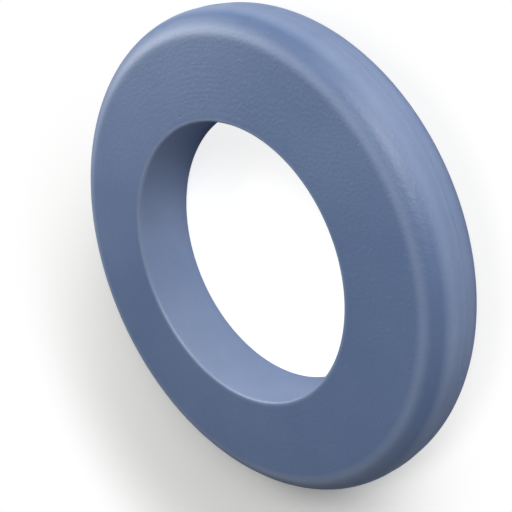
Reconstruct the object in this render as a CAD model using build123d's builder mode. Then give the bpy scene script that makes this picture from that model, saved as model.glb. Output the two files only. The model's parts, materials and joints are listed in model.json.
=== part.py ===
from build123d import *
import os

# Sealing washer for a 10 mm screw: one ring, moulded in a single piece.
# Millimetres. The ring lies on the base plane with its axis on Z.

bore_diameter = 10.4  # a 10 mm screw passes with 0.2 mm to spare all round
outer_diameter = 18.0
thickness = 2.5
rim_radius = 0.95  # large rounding of the outer edge, the same above and below
mouth_radius = 0.1  # small break on both edges of the bore

bore_radius = bore_diameter / 2
ring_width = outer_diameter / 2 - bore_radius

# The two roundings of the rim share the thickness, so neither takes more than this part of it
largest_rim_share = 0.48
rim_rounding = min(rim_radius, largest_rim_share * thickness)

with BuildPart() as washer:
    # Section of the ring, from the wall of the bore outwards
    with BuildSketch(Plane.XZ) as section:
        with Locations((bore_radius, 0)):
            Rectangle(ring_width, thickness, align=(Align.MIN, Align.MIN))
        fillet(section.vertices().group_by(Axis.X)[-1], rim_rounding)
        fillet(section.vertices().group_by(Axis.X)[0], mouth_radius)
    revolve(axis=Axis.Z)

washer.part.label = "washer"

os.makedirs("parts", exist_ok=True)
export_step(washer.part, "parts/washer.step")
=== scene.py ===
import json
import math

import bmesh
import bpy
from mathutils import Matrix, Vector, noise


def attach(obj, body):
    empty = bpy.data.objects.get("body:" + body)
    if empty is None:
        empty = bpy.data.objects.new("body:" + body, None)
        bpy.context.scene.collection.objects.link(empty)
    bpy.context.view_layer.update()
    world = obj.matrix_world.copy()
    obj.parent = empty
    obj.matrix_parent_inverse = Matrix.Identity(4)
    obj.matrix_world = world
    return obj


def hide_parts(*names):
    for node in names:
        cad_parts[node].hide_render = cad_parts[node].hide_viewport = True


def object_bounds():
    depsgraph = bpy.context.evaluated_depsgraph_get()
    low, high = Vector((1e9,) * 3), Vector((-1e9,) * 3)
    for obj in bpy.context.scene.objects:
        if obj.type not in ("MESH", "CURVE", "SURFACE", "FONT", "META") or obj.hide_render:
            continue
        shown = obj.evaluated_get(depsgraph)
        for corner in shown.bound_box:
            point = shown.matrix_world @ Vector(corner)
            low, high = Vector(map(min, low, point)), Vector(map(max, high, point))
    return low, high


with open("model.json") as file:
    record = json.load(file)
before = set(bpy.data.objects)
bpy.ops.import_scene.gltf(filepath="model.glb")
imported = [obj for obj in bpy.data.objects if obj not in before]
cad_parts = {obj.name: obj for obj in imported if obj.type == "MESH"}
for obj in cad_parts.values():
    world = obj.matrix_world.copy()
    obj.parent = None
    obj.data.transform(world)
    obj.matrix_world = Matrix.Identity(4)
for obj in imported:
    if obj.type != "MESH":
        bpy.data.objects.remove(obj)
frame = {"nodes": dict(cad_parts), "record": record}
cadLow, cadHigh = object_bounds()
scene = bpy.context.scene
mm = 0.001  # lengths are given in millimetres and used in metres
print("frame loaded:", ", ".join(frame["nodes"]))


# Shared helpers

def hexToLinear(text):
    channels = [int(text[i:i + 2], 16) / 255 for i in (1, 3, 5)]
    linear = [c / 12.92 if c <= 0.04045 else ((c + 0.055) / 1.055) ** 2.4 for c in channels]
    return (*linear, 1.0)


def addNode(tree, kind, settings=None, links=None):
    # lower-case names are the node's own options, all others are its sockets
    node = tree.nodes.new(kind)
    for name, value in (settings or {}).items():
        if isinstance(name, str) and hasattr(node, name):
            setattr(node, name, value)
        else:
            node.inputs[name].default_value = value
    for name, source in (links or {}).items():
        tree.links.new(source, node.inputs[name])
    return node


def newMaterial(name):
    material = bpy.data.materials.new(name)
    material.use_nodes = True
    material.node_tree.nodes.clear()
    return material, material.node_tree


def objectFromBmesh(bm, name, material):
    mesh = bpy.data.meshes.new(name)
    bm.to_mesh(mesh)
    bm.free()
    mesh.materials.append(material)
    obj = bpy.data.objects.new(name, mesh)
    scene.collection.objects.link(obj)
    return obj


# The ring's sizes come from the frame: its box, and the bore that the record states

boreMount = next(m for m in frame["record"]["mounts"] if m["name"] == "bore")
boreRadius = boreMount["dims"]["r_mm"] * mm
boreWall = boreMount["dims"]["length_mm"] * mm
thickness = cadHigh.z - cadLow.z
outerRadius = (cadHigh.y - cadLow.y) / 2
middleZ = (cadHigh.z + cadLow.z) / 2


# Rubber, compression moulded in a turned steel mould that was then blasted. It gives a matt, faintly
# grained skin with a soft gloss, rings left by the lathe, a few pinholes, and a pale bloom of wax

rubber = {
    "deepTone": "#657BA2",
    "paleTone": "#6B81A8",
    "toneSize": 4.0,  # the clouds of these two shades
    "toneNoise": {"Detail": 5, "Roughness": 0.6, "Distortion": 0.4},
    "toneRange": (0.3, 0.7),  # of the noise: below it all deep, above it all pale
    "bloomTone": "#8B9BB8",
    "bloomSize": 6.5,
    "bloomNoise": {"Detail": 6, "Roughness": 0.65},
    "bloomRange": (0.45, 0.75),
    "bloomMost": 0.16,
    "rubbedAndHighlightTone": "#9BABC9",  # where the ring is handled it is rubbed paler and smoother; the paleness is also a painted highlight on the rim, the bore and the shoulder
    "wearAndHighlightMost": 0.95,
    "wearAndHighlightLeast": 0.65,  # as a share of the most
    "wearAndHighlightRange": (0.35, 0.65),
    "rimWearAndHighlightFrom": 0.26,  # in from the outside: the wear and the painted highlight stop a little way up the roundings
    "rimWearAndHighlightTo": 0.03,
    "shoulderAt": 0.72,  # in from the outside: a pale line where the face turns into the rounding, partly rubbed wear and partly a painted highlight
    "shoulderWidth": 0.3,  # each side
    "shoulderShare": 0.6,  # fainter than the rim and the bore
    "mouthWearAndHighlight": 0.2,  # the wear and painted highlight of the bore reach this far on to the face
    "partingWidth": 0.06,  # each side of the parting line, where the flash was torn off and left it paler
    "partingPale": 0.6,
    "grainSize": 0.12,  # real blast grain is about 0.05, drawn at over twice that to show
    "grainNoise": {"Detail": 2, "Roughness": 0.55},
    "grainDepth": 0.011,
    "latheStep": 0.13,
    "latheNoise": {"Detail": 2, "Roughness": 0.6},
    "latheDepth": 0.0045,
    "lathePatch": 2.6,  # the rings come and go over this distance
    "patchNoise": {"Detail": 2},
    "patchRange": (0.35, 0.65),
    "patchLeast": 0.35,  # share of the rings' depth where they are faintest
    "fleckTone": "#8FA0BD",  # grains of filler near the skin, which the torn flash lays bare too
    "fleckSpacing": 0.34,
    "fleckRadius": 0.03,
    "fleckReach": 2,  # radii over which a fleck fades out
    "fleckPale": 0.3,
    "pinholeSpacing": 0.8,
    "pinholeRadius": 0.06,
    "pinholeDepth": 0.015,
    "pinholeShare": 0.25,  # of the cells that hold one
    "roughness": 0.5,
    "roughnessSpread": 0.05,
    "roughnessRange": (0.3, 0.7),
    "wornRoughness": 0.46,
    "ior": 1.55,
    "specularLevel": 0.65,
    "sheen": 0.15,
    "sheenRoughness": 0.35,
    "sheenTint": "#C4D0E8",
}


def makeRubber():
    r = rubber
    material, tree = newMaterial("mouldedRubber")
    place = addNode(tree, "ShaderNodeTexCoord").outputs["Object"]

    # Distance along the section, the same for both halves of the mould: radius less height from the middle
    flat = addNode(tree, "ShaderNodeVectorMath", {"operation": "MULTIPLY", 1: (1, 1, 0)},
                   {0: place}).outputs[0]
    radius = addNode(tree, "ShaderNodeVectorMath", {"operation": "LENGTH"}, {0: flat}).outputs["Value"]
    height = addNode(tree, "ShaderNodeSeparateXYZ", {}, {0: place}).outputs["Z"]
    fromMiddle = addNode(tree, "ShaderNodeMath", {"operation": "SUBTRACT", 1: middleZ},
                         {0: height}).outputs[0]
    offMiddle = addNode(tree, "ShaderNodeMath", {"operation": "ABSOLUTE"}, {0: fromMiddle}).outputs[0]
    along = addNode(tree, "ShaderNodeMath", {"operation": "SUBTRACT"}, {0: radius, 1: offMiddle}).outputs[0]

    # Where the ring is rubbed paler, which also serves as a painted highlight: its rim, the wall of the
    # bore, and a line where the face turns down
    rim = addNode(tree, "ShaderNodeMapRange", {
        "interpolation_type": "SMOOTHSTEP", "From Min": outerRadius - r["rimWearAndHighlightFrom"] * mm,
        "From Max": outerRadius - r["rimWearAndHighlightTo"] * mm,
    }, {"Value": radius}).outputs[0]
    bore = addNode(tree, "ShaderNodeMapRange", {
        "interpolation_type": "SMOOTHSTEP", "From Min": boreRadius + r["mouthWearAndHighlight"] * mm,
        "From Max": boreRadius,
    }, {"Value": radius}).outputs[0]
    fromShoulder = addNode(tree, "ShaderNodeMath", {
        "operation": "SUBTRACT", 1: outerRadius - r["shoulderAt"] * mm,
    }, {0: radius}).outputs[0]
    offShoulder = addNode(tree, "ShaderNodeMath", {"operation": "ABSOLUTE"}, {0: fromShoulder}).outputs[0]
    shoulder = addNode(tree, "ShaderNodeMapRange", {
        "interpolation_type": "SMOOTHSTEP", "From Min": 0.0, "From Max": r["shoulderWidth"] * mm,
        "To Min": r["shoulderShare"], "To Max": 0.0,
    }, {"Value": offShoulder}).outputs[0]
    rimOrBore = addNode(tree, "ShaderNodeMath", {"operation": "MAXIMUM"}, {0: rim, 1: bore}).outputs[0]
    wearAndHighlightMask = addNode(tree, "ShaderNodeMath", {"operation": "MAXIMUM"},
                     {0: rimOrBore, 1: shoulder}).outputs[0]

    # The parting line along the middle of the rim
    nearLine = addNode(tree, "ShaderNodeMapRange", {
        "interpolation_type": "SMOOTHSTEP", "From Min": 0.0, "From Max": r["partingWidth"] * mm,
        "To Min": r["partingPale"], "To Max": 0.0,
    }, {"Value": offMiddle}).outputs[0]
    parting = addNode(tree, "ShaderNodeMath", {"operation": "MULTIPLY"}, {0: nearLine, 1: rim}).outputs[0]

    # Clouds of two close shades, from how the compound flowed
    flow = addNode(tree, "ShaderNodeTexNoise", {
        "Scale": 1 / (r["toneSize"] * mm), **r["toneNoise"],
    }, {"Vector": place}).outputs["Fac"]
    flowShare = addNode(tree, "ShaderNodeMapRange", {
        "From Min": r["toneRange"][0], "From Max": r["toneRange"][1],
    }, {"Value": flow}).outputs[0]

    # Rings that the lathe left in the mould, stronger in some places than in others
    lathe = addNode(tree, "ShaderNodeTexNoise", {
        "noise_dimensions": "1D", "Scale": 1 / (r["latheStep"] * mm), **r["latheNoise"],
    }, {"W": along}).outputs["Fac"]
    latheEven = addNode(tree, "ShaderNodeMath", {"operation": "SUBTRACT", 1: 0.5}, {0: lathe}).outputs[0]
    patch = addNode(tree, "ShaderNodeTexNoise", {
        "Scale": 1 / (r["lathePatch"] * mm), **r["patchNoise"],
    }, {"Vector": place}).outputs["Fac"]
    patchShare = addNode(tree, "ShaderNodeMapRange", {
        "From Min": r["patchRange"][0], "From Max": r["patchRange"][1], "To Min": r["patchLeast"],
    }, {"Value": patch}).outputs[0]
    rings = addNode(tree, "ShaderNodeMath", {"operation": "MULTIPLY"},
                    {0: latheEven, 1: patchShare}).outputs[0]

    # Grain of the blasted mould
    grain = addNode(tree, "ShaderNodeTexNoise", {
        "Scale": 1 / (r["grainSize"] * mm), **r["grainNoise"],
    }, {"Vector": place}).outputs["Fac"]

    # Pinholes: a small round dip in some of the cells
    holes = addNode(tree, "ShaderNodeTexVoronoi", {"Scale": 1 / (r["pinholeSpacing"] * mm)},
                    {"Vector": place})
    holeShape = addNode(tree, "ShaderNodeMapRange", {
        "interpolation_type": "SMOOTHSTEP", "From Min": 0.0,
        "From Max": r["pinholeRadius"] / r["pinholeSpacing"], "To Min": 1.0, "To Max": 0.0,
    }, {"Value": holes.outputs["Distance"]}).outputs[0]
    holeDraw = addNode(tree, "ShaderNodeSeparateColor", {}, {0: holes.outputs["Color"]}).outputs[0]
    holeHere = addNode(tree, "ShaderNodeMath", {"operation": "LESS_THAN", 1: r["pinholeShare"]},
                       {0: holeDraw}).outputs[0]
    pinholes = addNode(tree, "ShaderNodeMath", {"operation": "MULTIPLY"},
                       {0: holeShape, 1: holeHere}).outputs[0]

    # Flecks of filler
    cells = addNode(tree, "ShaderNodeTexVoronoi", {"Scale": 1 / (r["fleckSpacing"] * mm)},
                    {"Vector": place})
    flecks = addNode(tree, "ShaderNodeMapRange", {
        "From Min": 0.0, "From Max": r["fleckReach"] * r["fleckRadius"] / r["fleckSpacing"],
        "To Min": r["fleckPale"], "To Max": 0.0,
    }, {"Value": cells.outputs["Distance"]}).outputs[0]

    # Bloom: a pale haze, thickest in drifts
    drift = addNode(tree, "ShaderNodeTexNoise", {
        "Scale": 1 / (r["bloomSize"] * mm), **r["bloomNoise"],
    }, {"Vector": place}).outputs["Fac"]
    bloom = addNode(tree, "ShaderNodeMapRange", {
        "From Min": r["bloomRange"][0], "From Max": r["bloomRange"][1], "To Max": r["bloomMost"],
    }, {"Value": drift}).outputs[0]

    # Colour. The wear, and the painted highlight that goes with it, is uneven, in the same drifts as the
    # bloom
    unevenWearAndHighlight = addNode(tree, "ShaderNodeMapRange", {
        "From Min": r["wearAndHighlightRange"][0], "From Max": r["wearAndHighlightRange"][1],
        "To Min": r["wearAndHighlightLeast"] * r["wearAndHighlightMost"], "To Max": r["wearAndHighlightMost"],
    }, {"Value": drift}).outputs[0]
    wearAndHighlight = addNode(tree, "ShaderNodeMath", {"operation": "MULTIPLY"}, {0: wearAndHighlightMask, 1: unevenWearAndHighlight}).outputs[0]
    colour = addNode(tree, "ShaderNodeMix", {
        "data_type": "RGBA", 6: hexToLinear(r["deepTone"]), 7: hexToLinear(r["paleTone"]),
    }, {0: flowShare}).outputs[2]
    for share, tone in ((bloom, "bloomTone"), (wearAndHighlight, "rubbedAndHighlightTone"), (parting, "fleckTone"),
                        (flecks, "fleckTone"), (pinholes, "deepTone")):
        colour = addNode(tree, "ShaderNodeMix", {"data_type": "RGBA", 7: hexToLinear(r[tone])},
                         {0: share, 6: colour}).outputs[2]

    # Roughness
    skin = addNode(tree, "ShaderNodeMapRange", {
        "From Min": r["roughnessRange"][0], "From Max": r["roughnessRange"][1],
        "To Min": r["roughness"] - r["roughnessSpread"], "To Max": r["roughness"] + r["roughnessSpread"],
    }, {"Value": drift}).outputs[0]
    roughness = addNode(tree, "ShaderNodeMix", {3: r["wornRoughness"]}, {0: wearAndHighlightMask, 2: skin}).outputs[0]

    # Relief in millimetres, added up and given to one bump
    relief = addNode(tree, "ShaderNodeMath", {"operation": "MULTIPLY", 1: r["grainDepth"]},
                     {0: grain}).outputs[0]
    for shape, depth in ((rings, r["latheDepth"]), (pinholes, -r["pinholeDepth"])):
        relief = addNode(tree, "ShaderNodeMath", {"operation": "MULTIPLY_ADD", 1: depth},
                         {0: shape, 2: relief}).outputs[0]
    bump = addNode(tree, "ShaderNodeBump", {"Distance": mm}, {"Height": relief})

    surface = addNode(tree, "ShaderNodeBsdfPrincipled", {
        "IOR": r["ior"], "Specular IOR Level": r["specularLevel"],
        "Sheen Weight": r["sheen"], "Sheen Roughness": r["sheenRoughness"],
        "Sheen Tint": hexToLinear(r["sheenTint"]),
    }, {"Base Color": colour, "Roughness": roughness, "Normal": bump.outputs[0]})
    addNode(tree, "ShaderNodeOutputMaterial", {}, {"Surface": surface.outputs[0]})
    return material


# The ring: one section, spun round the axis

ring = {
    "rimRounding": 0.95,  # both outer edges
    "rimSegments": 16,
    "mouthSegments": 5,
    "faceCuts": 15,
    "wallCuts": 9,
    "bandCuts": 7,  # an odd number, so that the parting line has a row of points of its own
    "partingHeight": 0.03,  # ridge where the two halves of the mould met
    "partingLeast": 0.6,  # its height varies about this share of the full one
    "partingSpread": 0.4,
    "partingRun": 1.5,  # length of its ups and downs
    "turns": 288,
    "shortestRun": 0.2,  # straight edges of the section are longer than this, those of its arcs shorter
    "sameSpot": 0.0001,  # points closer than this count as one
    "rowRoom": 0.001,  # room for rounding when the middle row is picked
}


def straightEdges(bm, axis, at):
    # edges of the section that run along one axis, at one place on the other
    other = 2 - axis
    return [e for e in bm.edges
            if all(abs(v.co[other] - at) < ring["sameSpot"] * mm for v in e.verts)
            and e.calc_length() > ring["shortestRun"] * mm]


def makeRing(material):
    bandRadius = outerRadius - ring["partingHeight"] * mm
    bm = bmesh.new()
    corners = [bm.verts.new((x, 0, z)) for x, z in ((boreRadius, cadLow.z), (bandRadius, cadLow.z),
                                                    (bandRadius, cadHigh.z), (boreRadius, cadHigh.z))]
    bm.faces.new(corners)
    inner, outer = (corners[0], corners[3]), (corners[1], corners[2])
    # Bevelled points turn the corners of the section into arcs
    for points, rounding, segments in ((inner, (thickness - boreWall) / 2, ring["mouthSegments"]),
                                       (outer, ring["rimRounding"] * mm, ring["rimSegments"])):
        bmesh.ops.bevel(bm, geom=points, offset=rounding, offset_type="OFFSET", segments=segments,
                        profile=0.5, affect="VERTICES", material=-1)
    bmesh.ops.delete(bm, geom=bm.faces[:], context="FACES_ONLY")

    # Straight runs are cut up, so that smooth shading stays flat across them
    for axis, at, cuts in ((0, cadLow.z, ring["faceCuts"]), (0, cadHigh.z, ring["faceCuts"]),
                           (2, boreRadius, ring["wallCuts"]), (2, bandRadius, ring["bandCuts"])):
        bmesh.ops.subdivide_edges(bm, edges=straightEdges(bm, axis, at), cuts=cuts)

    bmesh.ops.spin(bm, geom=bm.verts[:] + bm.edges[:], cent=(0, 0, 0), axis=(0, 0, 1),
                   angle=2 * math.pi, steps=ring["turns"], use_merge=True)
    bmesh.ops.remove_doubles(bm, verts=bm.verts[:], dist=ring["sameSpot"] * mm)

    # The middle row of the rim stands out as the parting line, a little uneven all round
    room = ring["rowRoom"] * mm
    for v in bm.verts:
        if abs(v.co.z - middleZ) < room and v.co.xy.length > bandRadius - room:
            wave = noise.noise(v.co / (ring["partingRun"] * mm))
            uneven = ring["partingLeast"] + ring["partingSpread"] * wave
            v.co.xy *= 1 + uneven * ring["partingHeight"] * mm / bandRadius

    bmesh.ops.recalc_face_normals(bm, faces=bm.faces[:])
    obj = objectFromBmesh(bm, "washerRing", material)
    obj.data.shade_smooth()
    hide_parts("washer")
    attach(obj, "root")
    return obj


makeRing(makeRubber())
print("ring made")


# The picture shows the ring stood on its rim. Here it lies on its far face, so the picture's up is -Y

pictureUp = Vector((0, -1, 0))
pictureOut = Vector((0, 0, 1))  # out of the face that is turned to the viewer
pictureSide = pictureUp.cross(pictureOut)
centre = Vector((0, 0, middleZ))


# Floor and backdrop

stage = {
    "floorColour": "#E8E8E6",
    "bounceColour": "#ABB6CB",  # thrown on to the ring, darker than the floor to keep its shaded side dark
    "floorSize": 1200,
    "floorBelow": 0.01,  # so that the floor and the ring's underside don't share a plane
    "floorShare": 1.34,  # of the floor's own light in what the camera sees
    "floorLift": 0.07,  # added for the camera alone, so that the lit floor is white
    "boreLift": 0.6,  # the same inside the bore, where the ring keeps most of the light out
    "underRing": 0.5,  # the change between them is hidden under the ring, this far out from the bore
    "shadowMiddle": (5, 8, 0),  # the floor fades to white with distance from here
    "fadeFrom": 6,
    "fadeTo": 15,
    "contactFade": 0.78,  # next to the ring the floor fades only this far, so that it doesn't seem to float
    "contactWidth": 1.0,
    "roomLight": 0.02,
}


# Plain board for the lamps. The camera sees the ring's shadow on it, fading to white further out
def makeFloor():
    material, tree = newMaterial("paleFloor")
    colour = hexToLinear(stage["floorColour"])
    matte = addNode(tree, "ShaderNodeBsdfDiffuse", {"Color": hexToLinear(stage["bounceColour"])})
    shown = [c * stage["floorShare"] for c in colour[:3]] + [1]
    faint = addNode(tree, "ShaderNodeBsdfDiffuse", {"Color": shown})
    place = addNode(tree, "ShaderNodeTexCoord").outputs["Object"]
    fromAxis = addNode(tree, "ShaderNodeVectorMath", {"operation": "LENGTH"}, {0: place})
    strength = addNode(tree, "ShaderNodeMapRange", {
        "From Min": boreRadius, "From Max": boreRadius + stage["underRing"] * mm,
        "To Min": stage["boreLift"], "To Max": stage["floorLift"],
    }, {"Value": fromAxis.outputs["Value"]})
    lift = addNode(tree, "ShaderNodeEmission", {}, {"Strength": strength.outputs[0]})
    lifted = addNode(tree, "ShaderNodeAddShader", {}, {0: faint.outputs[0], 1: lift.outputs[0]})
    white = addNode(tree, "ShaderNodeEmission", {"Strength": 1.0})
    middle = [c * mm for c in stage["shadowMiddle"]]
    away = addNode(tree, "ShaderNodeVectorMath", {"operation": "DISTANCE", 1: middle}, {0: place})
    fade = addNode(tree, "ShaderNodeMapRange",
                   {"interpolation_type": "SMOOTHSTEP", "From Min": stage["fadeFrom"] * mm,
                    "From Max": stage["fadeTo"] * mm}, {"Value": away.outputs["Value"]})
    clear = addNode(tree, "ShaderNodeMapRange", {
        "interpolation_type": "SMOOTHSTEP", "From Min": outerRadius,
        "From Max": outerRadius + stage["contactWidth"] * mm, "To Min": stage["contactFade"],
    }, {"Value": fromAxis.outputs["Value"]})
    whiteShare = addNode(tree, "ShaderNodeMath", {"operation": "MULTIPLY"},
                         {0: fade.outputs[0], 1: clear.outputs[0]})
    seen = addNode(tree, "ShaderNodeMixShader", {},
                   {0: whiteShare.outputs[0], 1: lifted.outputs[0], 2: white.outputs[0]})
    path = addNode(tree, "ShaderNodeLightPath")
    both = addNode(tree, "ShaderNodeMixShader", {},
                   {0: path.outputs["Is Camera Ray"], 1: matte.outputs[0], 2: seen.outputs[0]})
    addNode(tree, "ShaderNodeOutputMaterial", {}, {"Surface": both.outputs[0]})

    bm = bmesh.new()
    bmesh.ops.create_grid(bm, x_segments=1, y_segments=1, size=stage["floorSize"] * mm)
    bmesh.ops.translate(bm, verts=bm.verts[:], vec=(0, 0, cadLow.z - stage["floorBelow"] * mm))
    floor = objectFromBmesh(bm, "floor", material)


def makeWorld():
    world = bpy.data.worlds.new("room")
    scene.world = world
    world.use_nodes = True
    tree = world.node_tree
    tree.nodes.clear()
    room = addNode(tree, "ShaderNodeBackground", {"Strength": stage["roomLight"]})
    white = addNode(tree, "ShaderNodeBackground", {"Strength": 1.0})
    path = addNode(tree, "ShaderNodeLightPath")
    for node in (room, white):
        node.inputs["Color"].default_value = (1, 1, 1, 1)
    both = addNode(tree, "ShaderNodeMixShader", {},
                   {0: path.outputs["Is Camera Ray"], 1: room.outputs[0], 2: white.outputs[0]})
    addNode(tree, "ShaderNodeOutputWorld", {}, {"Surface": both.outputs[0]})


makeFloor()
makeWorld()
print("floor and room made")


# Lamps: bearing is counted round the ring from the picture's right-hand side towards its top

lamps = {
    "sideLamp": {"bearing": 57, "height": 32, "distance": 75, "size": (50, 40), "light": 0.84},
    "keyLamp": {"bearing": 158, "height": 27, "distance": 60, "size": (40, 40), "light": 0.63},
    "fillLamp": {"bearing": 265, "height": 10, "distance": 90, "size": (90, 52), "light": 0.1},
}


def makeLamp(name, lamp):
    bearing, height = math.radians(lamp["bearing"]), math.radians(lamp["height"])
    level = pictureSide * math.cos(bearing) + pictureUp * math.sin(bearing)
    towards = level * math.cos(height) + pictureOut * math.sin(height)
    distance = lamp["distance"] * mm
    data = bpy.data.lights.new(name, "AREA")
    data.shape = "RECTANGLE"
    data.size, data.size_y = lamp["size"][0] * mm, lamp["size"][1] * mm
    data.energy = lamp["light"] * math.pi ** 2 * distance ** 2  # light 1 shows a white card as white
    obj = bpy.data.objects.new(name, data)
    obj.location = centre + towards * distance
    obj.rotation_mode = "QUATERNION"
    obj.rotation_quaternion = towards.to_track_quat("Z", "Y")
    scene.collection.objects.link(obj)


for name, lamp in lamps.items():
    makeLamp(name, lamp)
print("lamps made:", len(lamps))


# Camera: a corner view, 45 degrees round from the face and 25 above, as the ring stood in the picture

view = {"around": 45, "above": 25.07, "distance": 34.81, "lensAngle": 30, "nearest": 1, "farthest": 10000}


def makeCamera():
    around, above = math.radians(view["around"]), math.radians(view["above"])
    level = pictureOut * math.cos(around) + pictureSide * math.sin(around)
    back = level * math.cos(above) + pictureUp * math.sin(above)
    right = pictureUp.cross(back).normalized()
    turned = Matrix((right, back.cross(right), back)).transposed().to_4x4()
    data = bpy.data.cameras.new("camera")
    data.lens = data.sensor_width / 2 / math.tan(math.radians(view["lensAngle"]) / 2)
    data.clip_start = view["nearest"] * mm
    data.clip_end = view["farthest"] * mm
    camera = bpy.data.objects.new("camera", data)
    camera.matrix_world = Matrix.Translation(centre + back * view["distance"] * mm) @ turned
    scene.collection.objects.link(camera)
    scene.camera = camera


makeCamera()
scene.view_settings.view_transform = "Standard"
print("camera made")
